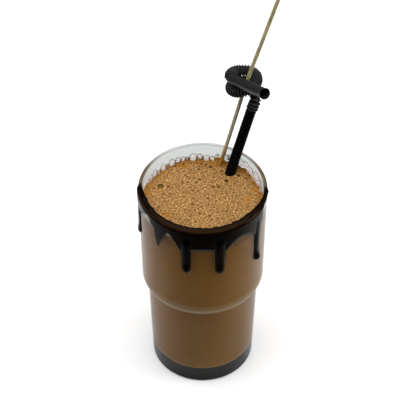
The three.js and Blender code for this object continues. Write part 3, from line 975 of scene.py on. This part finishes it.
def sauce_section(glass, sauce, azimuth, bead_rows=6, rim_rows=12, coat_rows=26, under_rows=6):
    """The closed section of the sauce at an azimuth, as (radius, height), the first point last again."""
    coat_end = min(sauce_line_height(azimuth), sauce.highest_end)
    from_first, to_last = azimuth - SAUCE_LINE[0][0], SAUCE_LINE[-1][0] - azimuth
    fade = smooth(min(from_first, to_last), 0, END_FADE)
    end = coat_end
    run = None
    for place, width, tip, tip_length, out, bulb in DRIPS:
        half = width * MM / 2
        across = math.radians(azimuth - place) * outer_radius(glass, tip * MM) / half
        if abs(across) < 1:
            arch = math.sqrt(1 - across * across)
            end = min(coat_end, (tip + tip_length * (1 - arch)) * MM)
            run = (arch, half, tip * MM, out * MM, bulb * MM)

    def rounded(above, over):
        return math.sqrt(min(1.0, max(0.0, above / over)))

    def stand(z):
        """How far the coat or the drip stands out from the wall at a height."""
        out = sauce.coat * rounded(z - coat_end, sauce.edge_round)
        if run:
            arch, half, tip, run_out, bulb = run
            near_tip = max(0.0, 1 - abs(z - tip - half) / (2 * half))
            from_top = smooth(glass.height - z, sauce.runs_from, sauce.runs_full)
            out = max(out, (run_out * from_top + bulb * near_tip) * arch)
        return fade * max(sauce.thin_edge, out) * rounded(z - end, sauce.tip_round)

    rim = glass.rim_wall / 2
    rim_top = glass.height - rim
    rim_middle = glass.rim_radius - rim
    share = smooth(from_first, *BEAD_FROM_FIRST) * smooth(to_last, *BEAD_FROM_LAST)
    uneven = 1 + BEAD_UNEVEN * noise.noise(Vector((azimuth / BEAD_WAVE, 0, 0)))
    bead = fade * share * sauce.bead * uneven
    bead_depth = share * sauce.bead_depth
    section = []

    def over_rim(turn, cover):
        section.append((rim_middle + cover * math.cos(turn), rim_top + cover * math.sin(turn)))

    for row in range(bead_rows):
        turn = math.pi / 2 * row / bead_rows
        z = rim_top - bead_depth * math.cos(turn)
        section.append((inner_radius(glass, z) - bead * math.sin(turn), z))
    # Over the rim the coat goes from the bead's thickness to its own and then to that of the outside, by the
    # angle from outward in radians.
    for row in range(rim_rows):
        turn = math.pi * (1 - row / rim_rows)
        over = mix(stand(rim_top), fade * sauce.rim_coat, smooth(turn, 0, 1.0))
        over_rim(turn, rim + mix(over, bead, smooth(turn, 1.1, 2.9)))
    # The rows of the coat lie a little closer toward its lower line.
    for row in range(coat_rows + 1):
        z = mix(rim_top, end, (row / coat_rows) ** 0.8)
        section.append((outer_radius(glass, z) + stand(z), z))
    under = fade * WET_IN
    for row in range(1, under_rows + 1):
        z = mix(end, rim_top, row / under_rows)
        section.append((outer_radius(glass, z) - under, z))
    for row in range(1, rim_rows + 1):
        over_rim(math.pi * row / rim_rows, rim - under)
    for row in range(1, bead_rows):
        z = rim_top - bead_depth * row / bead_rows
        section.append((inner_radius(glass, z) + under, z))
    section.append(section[0])
    return section


def chocolate_syrup(settings):
    """Chocolate syrup: almost black, thick and wet, with a sharp gloss, and browner where it is thin.

    That brown on the rim's outer edge is partly a painted highlight.
    """
    material, tree = new_material("chocolate_syrup")
    place = add_node(tree, "TexCoord").outputs["Object"]
    on_rim = add_node(tree, "Attribute", None, {"attribute_name": "on_rim"}).outputs["Fac"]
    colour = add_node(tree, "Mix", {"Factor": on_rim, "A": settings.colour, "B": settings.thin}, IN_COLOUR)
    ripple = add_node(tree, "TexNoise", {"Vector": place, "Scale": 1 / (6 * MM), "Detail": 1.0})
    relief = add_node(tree, "Bump", {"Height": ripple, "Strength": 0.3, "Distance": 0.2 * MM})
    body = add_node(
        tree,
        "BsdfPrincipled",
        {
            "Base Color": colour,
            "Roughness": 0.1,
            "IOR": 1.4,
            "Specular IOR Level": 0.2,
            "Specular Tint": settings.gloss,
            "Normal": relief,
        },
    )
    add_node(tree, "OutputMaterial", {"Surface": body})
    return material


class ICED_OT_sauce(bpy.types.Operator):
    """Add the chocolate sauce over the rim with its drips"""

    bl_idname = "iced_chocolate.sauce"
    bl_label = "Sauce"

    def execute(self, context):
        glass, sauce = context.scene.iced_tumbler, context.scene.iced_sauce
        first, last = SAUCE_LINE[0][0], SAUCE_LINE[-1][0]
        places = [mix(first, last, i / sauce.columns) for i in range(sauce.columns + 1)]
        sections = [sauce_section(glass, sauce, azimuth) for azimuth in places]
        rows = len(sections[0]) - 1
        bm = bmesh.new()
        on_rim = bm.verts.layers.float.new("on_rim")
        bmesh.ops.create_grid(bm, x_segments=sauce.columns, y_segments=rows, size=1)
        # The grid is wrapped round the glass, and what lies outside on the rim, where it is thin, is marked.
        # That mark is browner sauce, partly as a painted highlight along the rim's outer edge.
        for vert in bm.verts:
            column = round((vert.co.x + 1) / 2 * sauce.columns)
            row = round((vert.co.y + 1) / 2 * rows)
            radius, z = sections[column][row]
            vert.co = round_about(places[column], radius, z)
            inside = glass.rim_radius - radius
            outward = 1 - smooth(inside, sauce.thin_full, sauce.thin_from)
            vert[on_rim] = outward * smooth(z, glass.height - sauce.thin_depth, glass.height)
        bmesh.ops.remove_doubles(bm, verts=bm.verts, dist=2e-6)
        close_ends(bm)
        finish_piece("running_sauce", bm, chocolate_syrup(sauce), "chocolate_sauce")
        return {"FINISHED"}


# The straw.


class StrawSettings(bpy.types.PropertyGroup):
    outer: length("Diameter", 6.6, "Diameter of the smooth lengths")
    ridge: length("Ridge diameter", 7.7, "Diameter over the pleats")
    valley: length("Valley diameter", 5.5, "Diameter between the pleats")
    wall: length("Wall", 0.25, "Thickness of the wall")
    flare: length("Flare", 0.3, "How far the end of the mouthpiece turns out")
    flare_length: length("Flare length", 0.8, "Length of that turned-out end")
    pleats_from: length("Pleats from", 33.0, "Distance from the rim to the first pleat")
    mouthpiece: length("Mouthpiece", 47.0, "Smooth length after the last pleat")
    stretched: length("Stretched pitch", 2.05, "Distance between pleats where the straw is straight")
    bent: length("Bent pitch", 1.45, "Distance between pleats in the coil")
    drawn_from: length("Drawn from", 8.0, "Distance from the first pleat where they start to draw together")
    drawn_full: length("Drawn full", 16.0, "Distance from the first pleat where they are closest")
    run_out: length("Run-out", 2.0, "Length over which the pleats fade at both ends")
    sides: IntProperty(name="Sides", description="Faces round the straw", default=28, min=8)
    colour: tint("Straw", "#0b0b0b", "Black plastic")
    # This colour is painted highlight: it lightens the ridges of the pleats and, less, the mouthpiece, where
    # light catches them.
    painted_glint: tint("Worn", "#4a4a4a", "Plastic rubbed on the ridges and, less, on the mouthpiece")


def straw_points():
    """Points that the straw passes through, as in the CAD part."""
    up = (STRAW_ON_RIM - STRAW_FOOT).normalized()
    points = [STRAW_FOOT, STRAW_FOOT.lerp(STRAW_ON_RIM, 0.5), STRAW_ON_RIM]
    points += [STRAW_ON_RIM + up * (share * STEM_ABOVE_RIM) for share in (0.5, 0.76, 1)]
    axis = COIL_AXIS.normalized()
    right = (Vector((1, 0, 0)) - axis * axis.x).normalized()
    back = axis.cross(right)
    for degrees in range(COIL_START, COIL_STOP + 1, COIL_STEP):
        turns = degrees / 360
        radius = COIL_RADIUS - COIL_NARROWING * turns
        turn = math.radians(degrees)
        spoke = right * math.cos(turn) + back * math.sin(turn)
        points.append(COIL_CENTRE + spoke * radius + axis * (COIL_PITCH * turns))
    toward = MOUTHPIECE_TOWARD.normalized() * MOUTHPIECE_LENGTH
    points += [MOUTHPIECE_START + toward * share for share in (0, 0.2, 0.5, 1)]
    return [p * MM for p in points]


def black_polypropylene(settings):
    """Extruded black polypropylene: satin, with soft highlights along the smooth lengths.

    The ridges of its pleats and, less, its mouthpiece are lightened grey as painted highlight.
    """
    material, tree = new_material("black_polypropylene")
    place = add_node(tree, "TexCoord").outputs["Object"]
    grain = add_node(tree, "TexNoise", {"Vector": place, "Scale": 1 / (0.8 * MM), "Detail": 2.0})
    satin = {"From Min": 0.3, "From Max": 0.7, "To Min": 0.16, "To Max": 0.26}
    rough = add_node(tree, "MapRange", {"Value": grain, **satin})
    # Painted highlight: the ridges and the mouthpiece are mixed toward a lighter grey.
    ridge = add_node(tree, "Attribute", None, {"attribute_name": "ridge"}).outputs["Fac"]
    colour = add_node(tree, "Mix", {"Factor": ridge, "A": settings.colour, "B": settings.painted_glint}, IN_COLOUR)
    body = add_node(tree, "BsdfPrincipled", {"Base Color": colour, "Roughness": rough, "IOR": 1.12})
    add_node(tree, "OutputMaterial", {"Surface": body})
    return material


class ICED_OT_straw(bpy.types.Operator):
    """Add the bendy straw, coiled round the skewer"""

    bl_idname = "iced_chocolate.straw"
    bl_label = "Straw"

    def execute(self, context):
        straw = context.scene.iced_straw
        line = path_through(straw_points())
        total = distances(line)[-1]
        last = total - straw.mouthpiece
        stations = self.pleated(straw, last)
        smooth_radius = straw.outer / 2
        flare = total - straw.flare_length
        # The mouthpiece takes a quarter of the painted highlight colour, as light along its length.
        painted_mouthpiece_glint = 0.25
        rings = 14
        stations += [(mix(last, flare, k / rings), smooth_radius, painted_mouthpiece_glint) for k in range(rings + 1)]
        stations.append((total, smooth_radius + straw.flare, painted_mouthpiece_glint))
        bm = swept(line, stations, straw.sides)
        piece = finish_piece("coiled_straw", bm, black_polypropylene(straw), "straw")
        wall = piece.modifiers.new("wall", "SOLIDIFY")
        wall.thickness = straw.wall
        wall.offset = -1
        return {"FINISHED"}

    def pleated(self, straw, last, stem_steps=30, per_pleat=6):
        """Stations of the smooth stem and of the pleats up to a distance."""
        first = (STRAW_ON_RIM - STRAW_FOOT).length * MM + straw.pleats_from
        smooth_radius = straw.outer / 2
        stations = [(k * first / stem_steps, smooth_radius, 0.0) for k in range(stem_steps)]
        distance = first
        phase = 0.0
        while distance < last:
            drawn = smooth(distance, first + straw.drawn_from, first + straw.drawn_full)
            ridge = 0.5 + 0.5 * math.cos(2 * math.pi * phase)
            radius = mix(straw.valley, straw.ridge, ridge) / 2
            fade_in = smooth(distance, first, first + straw.run_out)
            fade_out = 1 - smooth(distance, last - straw.run_out, last)
            fade = min(fade_in, fade_out)
            # The third value is how much painted highlight lies on the ridge.
            stations.append((distance, mix(smooth_radius, radius, fade), fade * ridge**4))
            distance += mix(straw.stretched, straw.bent, drawn) / per_pleat
            phase += 1 / per_pleat
        return stations


# The skewer.


class SkewerSettings(bpy.types.PropertyGroup):
    diameter: length("Diameter", 2.5, "Diameter of the stick")
    full: length("Length", 300.0, "Length of the stick")
    point: length("Point", 9.0, "Length of the sharpened end, in the drink")
    tip: length("Tip", 0.2, "Radius of the sharpened tip")
    chamfer: length("Chamfer", 0.25, "Chamfer of the upper end")
    sides: IntProperty(name="Sides", description="Faces round the stick", default=20, min=6)
    rings: IntProperty(name="Rings", description="Faces along the stick", default=70, min=1)
    colour: tint("Bamboo", "#cbbf92", "Pale bamboo")
    streak: tint("Streak", "#938a5c", "Darker fibres")
    # The grey colour is painted shade: it greys the stick below the coil of the straw.
    grey: tint("Grey", "#a8a298", "Bamboo below the coil, greyer")
    wet: tint("Wet", "#a87408", "Bamboo stained by the drink")


def split_bamboo(settings, wet_to):
    """Split and turned bamboo: pale straw colour, long darker fibres, stained amber where it is wet.

    Painted shade makes it greyer below the coil of the straw.
    """
    material, tree = new_material("split_bamboo")
    place = add_node(tree, "TexCoord").outputs["Object"]
    along = {"Rotation": (0.0, 0.27, 0.0), "Scale": (1.0, 1.0, 0.04)}
    lengthwise = add_node(tree, "Mapping", {"Vector": place, **along})
    fibrous = {"Scale": 1 / (0.7 * MM), "Detail": 3.0, "Roughness": 0.6}
    fibre = add_node(tree, "TexNoise", {"Vector": lengthwise, **fibrous})
    share = add_node(tree, "MapRange", {"Value": fibre, "From Min": 0.38, "From Max": 0.62})
    colour = add_node(tree, "Mix", {"Factor": share, "A": settings.colour, "B": settings.streak}, IN_COLOUR)
    height = add_node(tree, "SeparateXYZ", {"Vector": place}).outputs["Z"]
    # Heights where each band starts to fade and is gone, how much of it shows and its colour: first painted
    # shade below the coil, then the stain of the drink.
    shade_and_stain = (
        (wet_to + 45 * MM, wet_to + 60 * MM, 0.65, settings.grey),
        (wet_to + 6 * MM, wet_to + 16 * MM, 0.95, settings.wet),
    )
    for low, high, most, layer in shade_and_stain:
        fade = {"From Min": low, "From Max": high, "To Min": most, "To Max": 0.0}
        here = add_node(tree, "MapRange", {"Value": height, **fade}, SOFT_STEP)
        colour = add_node(tree, "Mix", {"Factor": here, "A": colour, "B": layer}, IN_COLOUR)
    relief = add_node(tree, "Bump", {"Height": fibre, "Strength": 0.4, "Distance": 0.1 * MM})
    dull = {"Roughness": 0.55, "IOR": 1.5, "Specular IOR Level": 0.2}
    body = add_node(tree, "BsdfPrincipled", {"Base Color": colour, "Normal": relief, **dull})
    add_node(tree, "OutputMaterial", {"Surface": body})
    return material


class ICED_OT_skewer(bpy.types.Operator):
    """Add the bamboo skewer"""

    bl_idname = "iced_chocolate.skewer"
    bl_label = "Skewer"

    def execute(self, context):
        skewer, drink = context.scene.iced_skewer, context.scene.iced_drink
        points = [Vector(p) * MM for p in SKEWER_POINTS]
        used = distances(points)[-1]
        upward = SKEWER_TOWARD.normalized()
        points += [points[2] + upward * (share * (skewer.full - used)) for share in (0.3, 1)]
        line = path_through(points)
        total = distances(line)[-1]
        thick = skewer.diameter / 2
        shank_end = total - skewer.chamfer
        stations = [(0.0, skewer.tip, 0.0)]
        for k in range(skewer.rings + 1):
            stations.append((mix(skewer.point, shank_end, k / skewer.rings), thick, 0.0))
        stations.append((total, thick - skewer.chamfer, 0.0))
        bm = swept(line, stations, skewer.sides)
        close_ends(bm)
        bamboo = split_bamboo(skewer, drink.froth_level)
        finish_piece("bamboo_skewer", bm, bamboo, "skewer")
        return {"FINISHED"}


# Table, light and camera.


# Where the lamps point to, in metres, and where the camera does, in millimetres.
LAMP_AIM = Vector((0, 0, 0.12))
CAMERA_AIM = Vector((-1.75, -5.97, 143.66))

# The lamps: name, place in metres, direction of the long edge, size in metres and power in watts. A long
# narrow one on the left draws the line along the rim, and a soft one fills from the right.
LAMPS = [
    ("strip", (-1.0, 0.05, 0.65), (0.29, -1.22, 0.47), (1.5, 0.05), 5.0),
    ("fill", (1.2, -0.15, 0.55), (0.0, 1.0, 0.0), (0.6, 0.7), 8.0),
]


class StageSettings(bpy.types.PropertyGroup):
    table: tint("Table", "#ebebeb", "White table, as the camera sees it")
    bounce: tint("Bounce", "#c4c4c4", "White table, as it lights the glass")
    unlit: tint("Unlit", "#1c1c1c", "The table beyond its lit patch, as it lights the glass")
    lift: FloatProperty(name="Lift", description="How far the table is lifted to white", default=0.08)
    dusk: FloatProperty(name="Walls", description="Brightness of the room's walls", default=0.12)
    ceiling: FloatProperty(name="Ceiling", description="Brightness of the ceiling", default=2.9)
    distance: length("Camera distance", 1200.0, "Distance from the camera to the middle of the rim")
    lens: FloatProperty(name="Lens", description="Focal length, in millimetres", default=173.0)
    elevation: FloatProperty(
        name="Elevation",
        description="How far the camera looks down",
        default=math.radians(44.67),
        unit="ROTATION",
        subtype="ANGLE",
    )


def matt_table(settings):
    """Matt white laminate: even, almost without gloss."""
    material, tree = new_material("matt_white_table")
    seen = add_node(tree, "LightPath").outputs["Is Camera Ray"]
    place = add_node(tree, "TexCoord").outputs["Object"]
    # The patch of light lies a little behind the glass, so that its edges and its front stay dark.
    middle = (0.0, 180 * MM, 0.0)
    away = add_node(tree, "VectorMath", {0: place, 1: middle}, {"operation": "DISTANCE"})
    fade = add_node(tree, "MapRange", {"Value": away, "From Min": 180 * MM, "From Max": 400 * MM}, SOFT_STEP)
    patch = add_node(tree, "Mix", {"Factor": fade, "A": settings.bounce, "B": settings.unlit}, IN_COLOUR)
    glow = add_node(tree, "Math", {0: seen, 1: settings.lift}, {"operation": "MULTIPLY"})
    colour = add_node(tree, "Mix", {"Factor": seen, "A": patch, "B": settings.table}, IN_COLOUR)
    body = add_node(
        tree,
        "BsdfPrincipled",
        {
            "Base Color": colour,
            "Roughness": 0.7,
            "Specular IOR Level": 0.2,
            "Emission Color": settings.table,
            "Emission Strength": glow,
        },
    )
    add_node(tree, "OutputMaterial", {"Surface": body})
    return material


def dim_room(settings):
    """A bright ceiling over dim walls, by the height of the direction, behind a white backdrop."""
    world = bpy.data.worlds.new("room")
    world.use_nodes = True
    tree = world.node_tree
    tree.nodes.clear()
    toward = add_node(tree, "TexCoord").outputs["Generated"]
    height = add_node(tree, "SeparateXYZ", {"Vector": toward}).outputs["Z"]
    upward = {"From Min": 0.7, "From Max": 0.86, "To Min": settings.dusk, "To Max": settings.ceiling}
    glow = add_node(tree, "MapRange", {"Value": height, **upward}, SOFT_STEP)
    seen = add_node(tree, "LightPath").outputs["Is Camera Ray"]
    strength = add_node(tree, "Mix", {"Factor": seen, "A": glow, "B": 1.0}, {"data_type": "FLOAT"})
    room = add_node(tree, "Background", {"Color": (1.0, 1.0, 1.0, 1.0), "Strength": strength})
    add_node(tree, "OutputWorld", {"Surface": room})
    return world


class ICED_OT_stage(bpy.types.Operator):
    """Add the table, the lights and the camera"""

    bl_idname = "iced_chocolate.stage"
    bl_label = "Stage"

    def execute(self, context):
        scene = context.scene
        stage, glass = scene.iced_stage, scene.iced_tumbler
        self.add_table(stage)
        for lamp in LAMPS:
            self.add_lamp(scene, *lamp)
        scene.world = dim_room(stage)
        scene.view_settings.view_transform = "Standard"

        lens = bpy.data.cameras.new("camera")
        lens.lens = stage.lens
        lens.clip_start = 0.01
        camera = bpy.data.objects.new("camera", lens)
        back = Vector((0, -math.cos(stage.elevation), math.sin(stage.elevation)))
        camera.location = Vector((0, 0, glass.height)) + back * stage.distance
        aim = CAMERA_AIM * MM - camera.location
        camera.rotation_euler = aim.to_track_quat("-Z", "Y").to_euler()
        scene.collection.objects.link(camera)
        scene.camera = camera
        return {"FINISHED"}

    def add_table(self, stage):
        """A round table top, far wider than the view, a hair below the glass."""
        bm = bmesh.new()
        below = Matrix.Translation((0, 0, -0.1 * MM))
        bmesh.ops.create_circle(bm, cap_ends=True, radius=12, segments=64, matrix=below)
        table = make_object("table", bm, matt_table(stage))

    def add_lamp(self, scene, name, place, edge, size, power):
        """A rectangular lamp that faces the glass, with its long edge along the given direction."""
        light = bpy.data.lights.new(name, "AREA")
        light.shape = "RECTANGLE"
        light.size, light.size_y = size
        light.energy = power
        lamp = bpy.data.objects.new(name, light)
        back = (Vector(place) - LAMP_AIM).normalized()
        side = (Vector(edge) - back * back.dot(Vector(edge))).normalized()
        lamp.matrix_world = Matrix((side, back.cross(side), back)).transposed().to_4x4()
        lamp.location = place
        scene.collection.objects.link(lamp)


class ICED_PT_panel(bpy.types.Panel):
    """Lists the pieces of the drink"""

    bl_idname = "ICED_PT_panel"
    bl_label = "Iced chocolate"
    bl_space_type = "VIEW_3D"
    bl_region_type = "UI"
    bl_category = "Iced chocolate"

    def draw(self, context):
        for operator in OPERATORS:
            self.layout.operator(operator.bl_idname)
        for name, settings in SETTINGS.items():
            box = self.layout.box()
            box.label(text=name.removeprefix("iced_").capitalize())
            for field in settings.__annotations__:
                box.prop(getattr(context.scene, name), field)


SETTINGS = {
    "iced_tumbler": TumblerSettings,
    "iced_drink": DrinkSettings,
    "iced_froth": FrothSettings,
    "iced_foam": FoamSettings,
    "iced_sauce": SauceSettings,
    "iced_straw": StrawSettings,
    "iced_skewer": SkewerSettings,
    "iced_stage": StageSettings,
}
OPERATORS = (
    ICED_OT_stage,
    ICED_OT_tumbler,
    ICED_OT_drink,
    ICED_OT_froth,
    ICED_OT_foam,
    ICED_OT_sauce,
    ICED_OT_straw,
    ICED_OT_skewer,
)


def register():
    for kind in (*SETTINGS.values(), *OPERATORS, ICED_PT_panel):
        bpy.utils.register_class(kind)
    for name, settings in SETTINGS.items():
        setattr(bpy.types.Scene, name, PointerProperty(type=settings))


def unregister():
    for name in SETTINGS:
        delattr(bpy.types.Scene, name)
    for kind in (ICED_PT_panel, *reversed(OPERATORS), *reversed(SETTINGS.values())):
        bpy.utils.unregister_class(kind)


def main():
    register()
    bpy.ops.iced_chocolate.stage()
    bpy.ops.iced_chocolate.tumbler()
    bpy.ops.iced_chocolate.drink()
    bpy.ops.iced_chocolate.froth()
    bpy.ops.iced_chocolate.foam()
    bpy.ops.iced_chocolate.sauce()
    bpy.ops.iced_chocolate.straw()
    bpy.ops.iced_chocolate.skewer()


if __name__ == "__main__":
    main()
